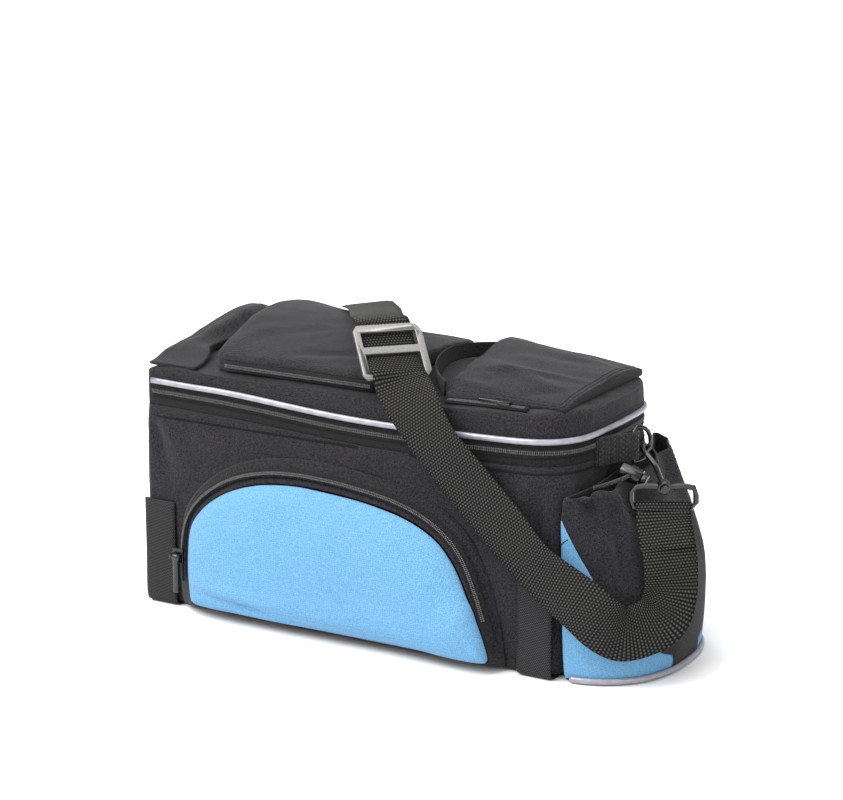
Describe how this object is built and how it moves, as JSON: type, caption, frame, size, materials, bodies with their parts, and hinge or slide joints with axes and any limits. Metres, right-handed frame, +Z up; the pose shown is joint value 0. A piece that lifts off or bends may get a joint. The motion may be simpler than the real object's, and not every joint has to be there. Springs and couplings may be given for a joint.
{
  "type": "bicycle rack bag",
  "caption": "Soft box bag for a bicycle rack, with a zipped lid, arched side pockets, a gathered end pocket, a carry handle and a shoulder strap.",
  "frame": {"origin": "middle of the footprint, on the surface that the bag stands on", "axes": "+X towards the gathered end pocket, -Y towards the near long side, +Z up"},
  "size_m": [0.4544, 0.2106, 0.234],
  "materials": {
    "cloth": "matt woven nylon",
    "blue_cloth": "matt woven nylon",
    "webbing": "ribbed webbing with a slight sheen",
    "zip": "coiled zip on woven tape",
    "piping": "satin reflective",
    "buckle": "satin",
    "hardware": "glossy black"
  },
  "bodies": {
    "bag": {"body_shell": "cloth", "main_zipper": "zip", "lid_hinge": "cloth", "lid_shell": "cloth", "lid_piping": "piping", "top_pocket": "cloth", "top_pocket_zip": "zip", "flap_pouch": "cloth", "pouch_lip": "cloth", "lid_zip": "zip", "lid_zip_slider": "hardware", "carry_handle": "cloth", "side_pocket_gusset_front": "cloth", "side_pocket_panel_front": "blue_cloth", "side_pocket_zip_front": "zip", "side_pocket_slider_front": "hardware", "side_pocket_gusset_back": "cloth", "side_pocket_panel_back": "blue_cloth", "side_pocket_zip_back": "zip", "side_pocket_slider_back": "hardware", "end_pocket_front_panel": "blue_cloth", "end_pocket_back_panel": "blue_cloth", "end_pocket": "cloth", "end_pocket_piping": "piping", "rack_strap_left": "webbing", "rack_strap_right": "webbing", "ring_tab_right": "webbing", "d_ring_right": "hardware", "snap_hook_right": "hardware", "strap_loop_right": "hardware", "ring_tab_left": "webbing", "d_ring_left": "hardware", "snap_hook_left": "hardware", "strap_loop_left": "hardware", "slider_buckle": "buckle", "shoulder_strap": "webbing", "drawstring": "webbing", "cord_lock_body": "hardware", "cord_lock_button": "hardware"},
    "pull_front": {"side_pocket_pull_front": "hardware"},
    "pull_back": {"side_pocket_pull_back": "hardware"}
  },
  "joints": [
    {"name": "pull_front_swing", "type": "hinge", "parent": "bag", "child": "pull_front", "pos_m": [-0.16199, -0.09679, 0.04595], "axis": [-1, 0, 0], "range_deg": [0, 120]},
    {"name": "pull_back_swing", "type": "hinge", "parent": "bag", "child": "pull_back", "pos_m": [-0.16199, 0.09623, 0.04595], "axis": [1, 0, 0], "range_deg": [0, 120]}
  ]
}
